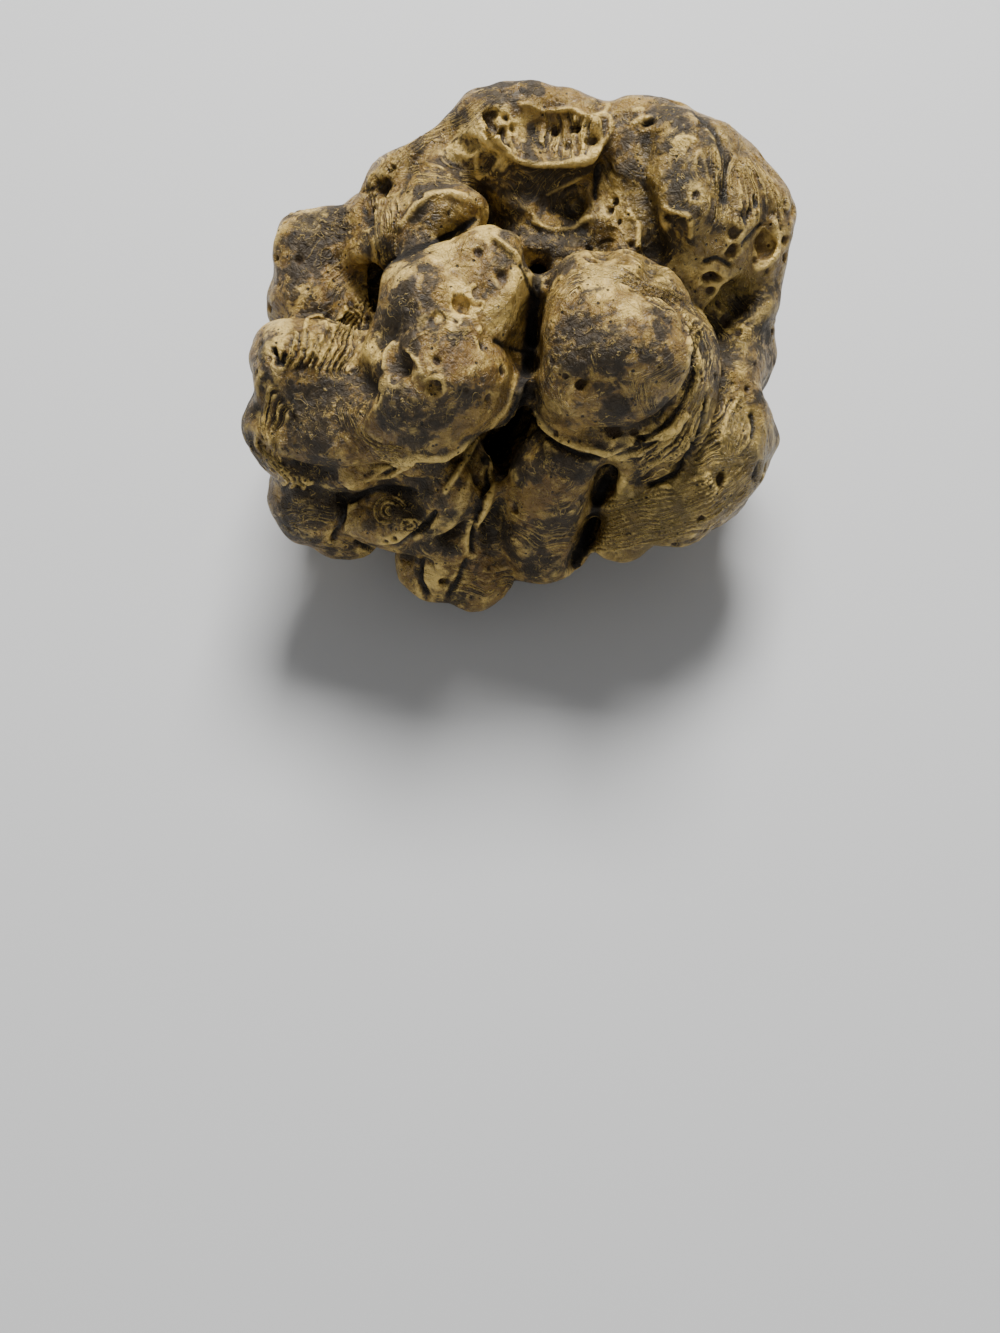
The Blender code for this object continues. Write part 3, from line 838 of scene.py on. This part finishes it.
def crease_distance(skin):
    """How far each point lies from the nearest crease, along the skin."""
    depth = -skin.above(CREASE_ROUNDS)
    away = np.where(depth > CREASE_DEPTH, 0, np.inf)
    steps = np.linalg.norm(skin.points[skin.start] - skin.points[skin.end], axis=1)
    for _ in range(FURTHEST_ROUNDS):
        np.minimum.at(away, skin.start, away[skin.end] + steps)
        np.minimum.at(away, skin.end, away[skin.start] + steps)
    return skin.averaged(np.minimum(away, FURTHEST_ROUNDS * SKIN_STEP), rounds=8)


def across_comb(skin, first, last):
    """The seen points near a comb, their share of the way across it, and how far out they lie."""
    starts = smooth_line(first, COMB_STEPS)
    steps = smooth_line(last, COMB_STEPS) - starts
    near = skin.near(np.concatenate([starts, starts + steps]), COMB_REACH)
    places = skin.seen_at[near]
    share = np.zeros(len(near))
    outside = np.full(len(near), np.inf)
    for start, step in zip(starts, steps):
        along = np.clip((places - start) @ step / (step @ step), 0, 1)
        away = np.hypot(*(places - start - along[:, None] * step).T)
        closer = away < outside
        share[closer] = along[closer]
        outside[closer] = away[closer]
    return near, share, outside


def lay_combs(skin, turn, combed, height):
    """Counts the threads across each comb of the front, and sets how high they stand."""
    for first, last, many, rise in COMBS.values():
        near, share, outside = across_comb(skin, first, last)
        inside = np.exp(-((outside / COMB_FADE) ** 2)) * skin.seen[near]
        taken = inside > 0.5 * combed[near]
        near = near[taken]
        spacing = np.linalg.norm(np.subtract(first[1], last[1])) / many
        room = min(1, max(0, (spacing - CROWDED) / CROWD_FADE))
        turn[near] = many * share[taken]
        combed[near] = inside[taken] * min(1, FAINTEST_COMB + 2 * rise)
        height[near] = rise * room * skin.facing[near]


def lay_rings(skin, turn, combed, height):
    """Curls the threads round some places, in rings a little wider than high."""
    for place, radius, many, rise in RINGS.values():
        near = skin.near(np.array([place]), RING_REACH * radius)
        across, up = (skin.seen_at[near] - np.array(place)).T
        away = np.hypot(across, RING_FLATNESS * up) / radius
        strength = np.clip(RING_FADE * (RING_EDGE - away), 0, FAINTEST_RING + 2 * rise)
        turn[near] = many * away
        combed[near] = strength * skin.facing[near]
        height[near] = rise


def comb_skin(skin, traces):
    """Low threads: those of the front's combs and curls, and others along the creases."""
    distance = crease_distance(skin)
    turn = distance / THREAD_SPACING + skin.layers(THREAD_DRIFT)
    combed = np.clip(MEAN_COMBED + skin.layers(COMBED_WAVES), 0, MOST_COMBED)
    combed = combed * np.clip(distance / CREASE_FADE - 0.5, 0, 1)
    height = np.full(len(skin.points), THREAD_HEIGHT)
    lay_combs(skin, turn, combed, height)
    lay_rings(skin, turn, combed, height)
    turn += skin.layers(THREAD_WAVES)
    swell = np.cos(2 * math.pi * turn) + 0.5 * np.cos(2 * math.pi * ODD_THREADS * turn)
    skin.push(height * combed * swell * broken(skin, amount=0.8))
    traces["turn"] = turn
    traces["combed"] = combed


def lay_lines(skin, traces):
    """Raises the rims and strands, presses the cuts and clefts, and keeps a trace of each."""
    uneven = broken(skin)
    rims = skin.none()
    traces["rim"] = skin.none()
    for corners, width, height in RIDGES.values():
        shape = along_line(skin, corners, width) * skin.facing * uneven
        rims = np.maximum(rims, height * shape)
        traces["rim"] = np.maximum(traces["rim"], shape * min(1, FAINTEST_RIM + height))
    cuts = skin.none()
    traces["cut"] = skin.none()
    for corners, width, depth in CUTS.values():
        shape = along_line(skin, corners, width) * skin.facing * np.clip(0.3 + 0.7 * uneven, 0, 1)
        cuts = np.maximum(cuts, depth * shape)
        traces["cut"] = np.maximum(traces["cut"], shape * min(1, FAINTEST_CUT + depth))
    traces["cleft"] = skin.none()
    for corners, width in CLEFTS.values():
        shape = along_line(skin, corners, width) * skin.seen
        traces["cleft"] = np.maximum(traces["cleft"], shape)
    skin.push(rims - cuts - CLEFT_DEPTH * traces["cleft"])


def press_pit(skin, centre, radius, depth, push, traces, rise=PLAIN_RIM):
    """An uneven pit with a flat floor, a steep wall and a raised rim."""
    near = np.flatnonzero((np.abs(skin.points - centre) < PIT_REACH * radius).all(axis=1))
    away = np.linalg.norm(skin.points[near] - centre, axis=1) / radius
    away *= 1 + PIT_UNEVENNESS * traces["uneven"][near]
    inside = 1 / (1 + away**PIT_WALL)
    rim = np.exp(-(((away - PIT_RIM_PLACE) / PIT_RIM_WIDTH) ** 2))
    push[near] = np.minimum(push[near], -depth * inside) + rise * rim
    steep = min(1, depth / radius)
    # The pit trace marks the steep inside, which takes painted shade.
    traces["pit"][near] = np.maximum(traces["pit"][near], inside * steep)
    traces["floor"][near] = np.maximum(traces["floor"][near], inside * (1 - steep))
    traces["rim"][near] = np.maximum(traces["rim"][near], 3 * rise * rim)


def press_pores(skin, push, traces):
    """Small pits at random places, in clusters."""
    draw = random.Random(SEED)
    clusters = skin.layers(PORE_WAVES)
    for _ in range(PORES):
        index = draw.randrange(len(skin.points))
        if clusters[index] < PORE_CLUSTERS:
            continue
        radius = SMALLEST_PORE + PORE_RANGE * draw.random() ** PORE_RARITY
        depth = radius * draw.uniform(*PORE_DEPTHS)
        press_pit(skin, skin.points[index], radius, depth, push, traces)


def press_pits(skin, traces):
    """The named pits of the front, and pores all over."""
    push = skin.none()
    traces["pit"] = skin.none()
    traces["floor"] = skin.none()
    traces["uneven"] = skin.layers(PIT_WAVES)
    for name, (place, radius, depth) in PITS.items():
        centre = skin.spot(*place)
        if centre is not None:
            press_pit(skin, centre, radius, depth, push, traces, PIT_RIMS.get(name, PLAIN_RIM))
    press_pores(skin, push, traces)
    skin.push(push)


def patches(skin, regions):
    """Soft-edged patches on the side that the standpoint sees, 0 to about 1."""
    total = skin.none()
    edge = skin.layers(PATCH_EDGES)
    for spots in regions.values():
        for place, radius, strength in spots:
            away = np.hypot(*(skin.seen_at - np.array(place)).T) / radius
            total = np.maximum(total, strength * np.clip(PATCH_SPREAD - away + edge, 0, 1))
    return np.clip(total, 0, 1) * skin.seen


def store(piece, name, values):
    """Keeps a number for each point, which the material reads by its name."""
    attribute = piece.data.attributes.new(name, "FLOAT", "POINT")
    attribute.data.foreach_set("value", values.astype(np.float32))


def soil_film(skin, crest, cream, olive):
    """How dense the film of soil is: thinner on crests and on cream or olive skin."""
    film = FILM_MEAN + FILM_BEHIND * (1 - skin.seen) + skin.layers(FILM_WAVES)
    film += FILM_IN_PATCHES * patches(skin, FILM) - FILM_OFF_OLIVE * olive
    return film - FILM_OFF_CREAM * cream - FILM_OFF_CRESTS * np.clip(crest, 0, 1)


def colour_traces(skin, traces):
    """Writes down, for the skin's material, what lies where, each from 0 to 1."""
    crest = skin.above(MIDDLE_ROUNDS) / MIDDLE_HEIGHT + skin.above(NEAR_ROUNDS) / NEAR_HEIGHT
    crest = np.clip(crest, -1, 1)
    valley = -skin.above(BROAD_ROUNDS) / BROAD_DEPTH
    hidden = 1 - skin.seen
    cream = patches(skin, CREAM)
    olive = patches(skin, OLIVE)
    soil = patches(skin, SOIL)
    far_cream = hidden * np.clip(skin.layers(FAR_CREAM) - 0.3, 0, 1)
    far_olive = hidden * np.clip(skin.layers(FAR_OLIVE), 0, 1)
    far_russet = hidden * np.clip(skin.layers(FAR_RUSSET), 0, 1)
    found = {
        "soil": np.maximum(soil, soil_film(skin, crest, cream, olive)),
        # The hollow, cut, cleft and pit traces place painted shade; the cleft one also covers broad
        # hollows. The crest trace places cream that is partly painted highlight.
        "hollow": -crest - 0.1 - 1.5 * traces["floor"],
        "cut": traces["cut"],
        "cleft": np.maximum(1.6 * traces["cleft"] - 0.2, valley - 0.35),
        "pit": traces["pit"],
        "crest": crest - 0.1 - 0.9 * soil,
        "rim": traces["rim"],
        "cream": cream + far_cream,
        "olive": olive + far_olive,
        "russet": patches(skin, RUSSET) + far_russet,
        "combed": traces["combed"],
    }
    for name, values in found.items():
        store(skin.piece, name, np.clip(values, 0, 1))
    store(skin.piece, "turn", traces["turn"])


class Nodes:
    """Short ways to lay out a material's nodes."""

    def __init__(self, material):
        material.use_nodes = True
        self.tree = material.node_tree
        self.shader = self.tree.nodes["Principled BSDF"]
        self.place = self.tree.nodes.new("ShaderNodeTexCoord").outputs["Object"]

    def link(self, value, socket):
        """Feeds the socket with another node's output, or with a plain value."""
        if hasattr(value, "links"):
            self.tree.links.new(value, socket)
        else:
            socket.default_value = value

    def trace(self, name):
        """The number that the skin's points keep under this name."""
        node = self.tree.nodes.new("ShaderNodeAttribute")
        node.attribute_name = name
        return node.outputs["Fac"]

    def grain(self, size, detail, roughness=0.6, swirl=0.0):
        """Noise whose grains are this large, in millimetres, and may swirl."""
        node = self.tree.nodes.new("ShaderNodeTexNoise")
        node.inputs["Scale"].default_value = 1 / (size * MM)
        node.inputs["Detail"].default_value = detail
        node.inputs["Roughness"].default_value = roughness
        node.inputs["Distortion"].default_value = swirl
        self.link(self.place, node.inputs["Vector"])
        return node.outputs["Fac"]

    def cells(self, size):
        """How far each place lies from the middle of its cell of this size."""
        node = self.tree.nodes.new("ShaderNodeTexVoronoi")
        node.inputs["Scale"].default_value = 1 / (size * MM)
        self.link(self.place, node.inputs["Vector"])
        return node.outputs["Distance"]

    def maths(self, kind, first, second=0.0):
        node = self.tree.nodes.new("ShaderNodeMath")
        node.operation = kind
        self.link(first, node.inputs[0])
        self.link(second, node.inputs[1])
        return node.outputs["Value"]

    def add(self, first, second):
        return self.maths("ADD", first, second)

    def subtract(self, first, second):
        return self.maths("SUBTRACT", first, second)

    def multiply(self, first, second):
        return self.maths("MULTIPLY", first, second)

    def ramp(self, value, low, high, bottom=0.0, top=1.0):
        """Rises smoothly from bottom at low to top at high."""
        node = self.tree.nodes.new("ShaderNodeMapRange")
        node.interpolation_type = "SMOOTHSTEP"
        self.link(value, node.inputs["Value"])
        node.inputs["From Min"].default_value = low
        node.inputs["From Max"].default_value = high
        node.inputs["To Min"].default_value = bottom
        node.inputs["To Max"].default_value = top
        return node.outputs["Result"]

    def swing(self, value, bottom, top):
        """Noise stretched from its usual middle range to bottom and top."""
        return self.ramp(value, 0.3, 0.7, bottom, top)

    def mix(self, share, first, second):
        node = self.tree.nodes.new("ShaderNodeMix")
        node.data_type = "RGBA"
        self.link(share, node.inputs["Factor"])
        self.link(first, node.inputs["A"])
        self.link(second, node.inputs["B"])
        return node.outputs["Result"]

    def bump(self, height, distance, strength, under=None):
        """Relief of this height in millimetres, laid over what is under it."""
        node = self.tree.nodes.new("ShaderNodeBump")
        node.inputs["Distance"].default_value = distance * MM
        node.inputs["Strength"].default_value = strength
        self.link(height, node.inputs["Height"])
        if under:
            self.link(under, node.inputs["Normal"])
        return node.outputs["Normal"]


def threads_at(nodes, many, width):
    """Thin broken lines beside each other, so many to a turn: 1 on a line, 0 between."""
    waver = nodes.ramp(nodes.grain(size=1.5, detail=3), 0.2, 0.8, bottom=-1.2, top=1.2)
    waves = []
    for times in (many, ODD_THREADS * many):
        turn = nodes.multiply(nodes.trace("turn"), 2 * math.pi * times)
        waves.append(nodes.maths("COSINE", nodes.add(turn, waver)))
    wave = nodes.add(waves[0], nodes.multiply(waves[1], 0.5))
    whole = nodes.ramp(nodes.grain(size=2.5, detail=2), 0.35, 0.6, bottom=0.25)
    return nodes.multiply(nodes.ramp(wave, 1.3 - width, 1.3), whole)


def thin_veins(nodes, size, width):
    """Thin lines that wander and meet, 1 on a line."""
    middle = nodes.subtract(nodes.grain(size, detail=3, roughness=0.5, swirl=0.6), 0.5)
    return nodes.ramp(nodes.maths("ABSOLUTE", middle), 0, width, bottom=1, top=0)


class Patterns:
    """The patterns that the skin's colour and its relief share."""

    def __init__(self, nodes):
        self.marbling = nodes.grain(size=4, detail=5, roughness=0.55, swirl=2.0)
        self.mottle = nodes.grain(size=2.0, detail=6, roughness=0.6, swirl=0.5)
        self.smoke = nodes.grain(size=1.1, detail=5, roughness=0.6, swirl=0.8)
        self.grit = nodes.grain(size=0.25, detail=2, roughness=0.5)
        combed = nodes.trace("combed")
        self.threads = nodes.multiply(threads_at(nodes, many=1, width=0.9), combed)
        # The gaps between the threads take painted shade.
        self.gaps = nodes.subtract(combed, self.threads)
        fine = threads_at(nodes, many=2.3, width=1.2)
        self.fine = nodes.multiply(fine, nodes.add(combed, 0.15))
        veins = thin_veins(nodes, size=2.4, width=0.018)
        self.veins = nodes.multiply(veins, nodes.ramp(self.marbling, 0.42, 0.55))
        scratches = thin_veins(nodes, size=1.1, width=0.022)
        self.scratches = nodes.multiply(scratches, nodes.ramp(self.mottle, 0.45, 0.6))
        # The pores are painted near-black shade.
        pores = nodes.add(nodes.cells(size=1.3), nodes.ramp(self.mottle, 0.35, 0.55, 0.3, 0))
        self.pores = nodes.ramp(pores, 0.1, 0.2)
        self.dirt = self.dirt_left(nodes)

    def dirt_left(self, nodes):
        """Soil with broken edges, worn off the threads."""
        dirt = nodes.add(nodes.trace("soil"), nodes.swing(self.mottle, 0.45, -0.45))
        dirt = nodes.add(dirt, nodes.swing(self.smoke, -0.25, 0.25))
        dirt = nodes.subtract(dirt, nodes.multiply(self.threads, 0.5))
        return nodes.subtract(dirt, nodes.multiply(self.fine, 0.3))


def base_colour(nodes, patterns):
    """Ochre skin, marbled, with olive, russet and bare cream patches."""
    colour = nodes.mix(nodes.ramp(patterns.marbling, 0.38, 0.62), TAN, OCHRE)
    colour = nodes.mix(nodes.multiply(nodes.trace("olive"), 0.75), colour, OLIVE_SKIN)
    colour = nodes.mix(nodes.multiply(nodes.trace("russet"), 0.6), colour, RUSSET_SKIN)
    pale = nodes.add(nodes.trace("cream"), nodes.swing(patterns.mottle, -0.35, 0.45))
    return nodes.mix(nodes.ramp(pale, 0.1, 0.9, top=0.9), colour, CREAM_SKIN_AND_HIGHLIGHT)


def soiled_and_shaded(nodes, patterns, colour):
    """The colour under a film of soil, with painted shade in the hollows and between the threads."""
    film = nodes.mix(nodes.ramp(patterns.dirt, 0.35, 1.1), FILM_PALE, DARK_SOIL_AND_SHADE)
    colour = nodes.mix(nodes.ramp(patterns.dirt, 0.18, 0.62, top=0.92), colour, film)
    colour = nodes.mix(nodes.ramp(nodes.trace("hollow"), 0, 0.8, top=0.8), colour, DARK_SOIL_AND_SHADE)
    return nodes.mix(nodes.multiply(patterns.gaps, 0.3), colour, PAINTED_PIT_SHADE)


def rubbed_and_highlit(nodes, patterns, colour):
    """The colour with bare cream on what stands out: crests, threads, veins and rims. On the crests the
    cream is partly worn skin and partly painted highlight.
    """
    crest = nodes.add(nodes.trace("crest"), nodes.swing(patterns.smoke, -0.25, 0.15))
    lines = (
        (patterns.threads, 0.7),
        (patterns.veins, 0.6),
        (patterns.fine, 0.7),
        (patterns.scratches, 0.65),
    )
    for line, strength in lines:
        crest = nodes.maths("MAXIMUM", crest, nodes.multiply(line, strength))
    crest = nodes.maths("MAXIMUM", crest, nodes.trace("rim"))
    return nodes.mix(nodes.ramp(crest, 0.15, 0.9, top=0.9), colour, CREAM_SKIN_AND_HIGHLIGHT)


def holed_and_shaded(nodes, patterns, colour):
    """The colour with painted shade, dark to near-black, in pits, cuts, clefts and pores."""
    pit = nodes.add(nodes.trace("pit"), nodes.swing(patterns.smoke, -0.2, 0.1))
    colour = nodes.mix(nodes.ramp(pit, 0.3, 0.9, top=0.9), colour, PAINTED_PIT_SHADE)
    colour = nodes.mix(nodes.ramp(nodes.trace("cut"), 0.2, 0.8, top=0.92), colour, DARK_SOIL_AND_SHADE)
    colour = nodes.mix(nodes.ramp(nodes.trace("cleft"), 0.05, 0.9, top=0.95), colour, DEEP_SHADE)
    return nodes.mix(nodes.ramp(patterns.pores, 0, 1, bottom=0.9, top=0), colour, DEEP_SHADE)


def skin_roughness(nodes, patterns):
    """Waxy where the skin is clean, duller under soil and in the clefts."""
    rough = nodes.ramp(patterns.dirt, 0.2, 0.8, bottom=0.34, top=0.6)
    return nodes.add(rough, nodes.ramp(nodes.trace("cleft"), 0, 0.6, top=0.35))


def skin_relief(nodes, patterns):
    """What is too fine for the mesh."""
    relief = nodes.bump(patterns.threads, distance=0.4, strength=0.9)
    relief = nodes.bump(patterns.fine, distance=0.16, strength=0.8, under=relief)
    relief = nodes.bump(patterns.smoke, distance=0.9, strength=0.8, under=relief)
    relief = nodes.bump(patterns.veins, distance=0.2, strength=0.8, under=relief)
    relief = nodes.bump(patterns.scratches, distance=0.12, strength=0.8, under=relief)
    relief = nodes.bump(patterns.pores, distance=0.2, strength=0.8, under=relief)
    return nodes.bump(patterns.grit, distance=0.15, strength=0.6, under=relief)


def skin_material():
    """Waxy ochre skin: cream on its crests, partly painted highlight, a thin film of soil over it,
    painted shade in the hollows.
    """
    material = bpy.data.materials.new(SKIN)
    nodes = Nodes(material)
    patterns = Patterns(nodes)
    colour = base_colour(nodes, patterns)
    colour = soiled_and_shaded(nodes, patterns, colour)
    colour = rubbed_and_highlit(nodes, patterns, colour)
    colour = holed_and_shaded(nodes, patterns, colour)
    nodes.link(colour, nodes.shader.inputs["Base Color"])
    nodes.link(skin_roughness(nodes, patterns), nodes.shader.inputs["Roughness"])
    nodes.link(skin_relief(nodes, patterns), nodes.shader.inputs["Normal"])
    nodes.shader.inputs["Specular IOR Level"].default_value = 0.5
    return material


def flatten_rest(skin):
    """Nothing reaches below the surface that the truffle stands on."""
    skin.points[:, 2] = np.maximum(skin.points[:, 2], REST_HEIGHT)
    skin.write()


def add_truffle():
    """The finished skin, which stands in for the plain solid."""
    piece = skin_copy()
    skin = Skin(piece)
    traces = {}
    roughen(skin)
    comb_skin(skin, traces)
    lay_lines(skin, traces)
    press_pits(skin, traces)
    colour_traces(skin, traces)
    flatten_rest(skin)
    triangles = 2 * len(piece.data.polygons)
    apply_modifier(piece, "DECIMATE", ratio=min(1, MOST_TRIANGLES / triangles))
    piece.data.transform(Matrix.Scale(MM, 4))
    piece.data.materials.append(skin_material())
    piece.data.shade_smooth()
    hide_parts("white_truffle")
    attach(piece, "root")


add_camera()
add_floor()
add_studio()
add_truffle()
